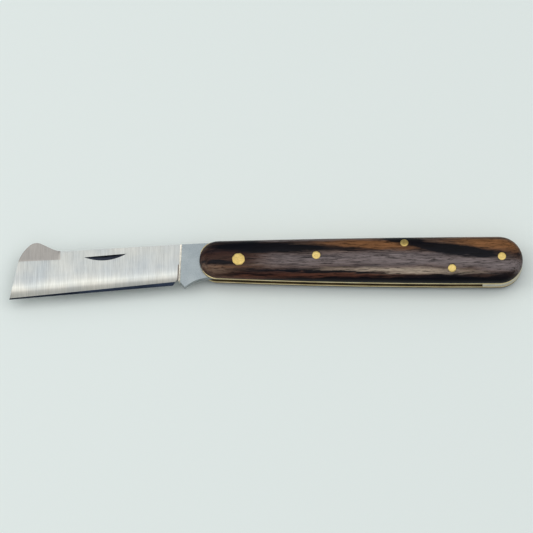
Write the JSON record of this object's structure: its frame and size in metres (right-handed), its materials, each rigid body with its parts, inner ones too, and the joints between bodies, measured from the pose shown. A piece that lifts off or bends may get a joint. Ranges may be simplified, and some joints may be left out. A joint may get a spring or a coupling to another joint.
{
  "type": "folding grafting knife",
  "caption": "Folding grafting knife: straight blade with a bark lifter at the tip, slip-joint backspring, brass liners and pins, rounded wooden scales.",
  "frame": {"origin": "middle of the flat of the rear scale, which the knife lies on, 40 mm from the pivot axis", "axes": "+X along the handle to the butt, +Y to the back of the knife, where the spine and the spring are, +Z out of the front scale; the open blade points to -X"},
  "size_m": [0.1667, 0.0197, 0.0124],
  "materials": {
    "blade_steel": "fine grinding lines across the blade",
    "spring_steel": "ground flush with the liners",
    "liner_brass": "satin",
    "pin_brass": "hammered and filed flush",
    "scale_wood": "oiled and polished dark walnut"
  },
  "bodies": {
    "handle": {"backspring": "spring_steel", "front_liner": "liner_brass", "rear_liner": "liner_brass", "front_scale": "scale_wood", "rear_scale": "scale_wood", "pivot_pin": "pin_brass", "spring_centre_pin": "pin_brass", "spring_end_pin": "pin_brass", "front_scale_pin_fore": "pin_brass", "front_scale_pin_aft": "pin_brass", "rear_scale_pin_fore": "pin_brass", "rear_scale_pin_aft": "pin_brass"},
    "blade": {"blade": "blade_steel"}
  },
  "joints": [
    {"name": "blade_pivot", "type": "hinge", "parent": "handle", "child": "blade", "pos_m": [-0.04, 0, 0.0062], "axis": [0, 0, 1], "range_deg": [0, 169], "deforming": ["backspring"]}
  ]
}
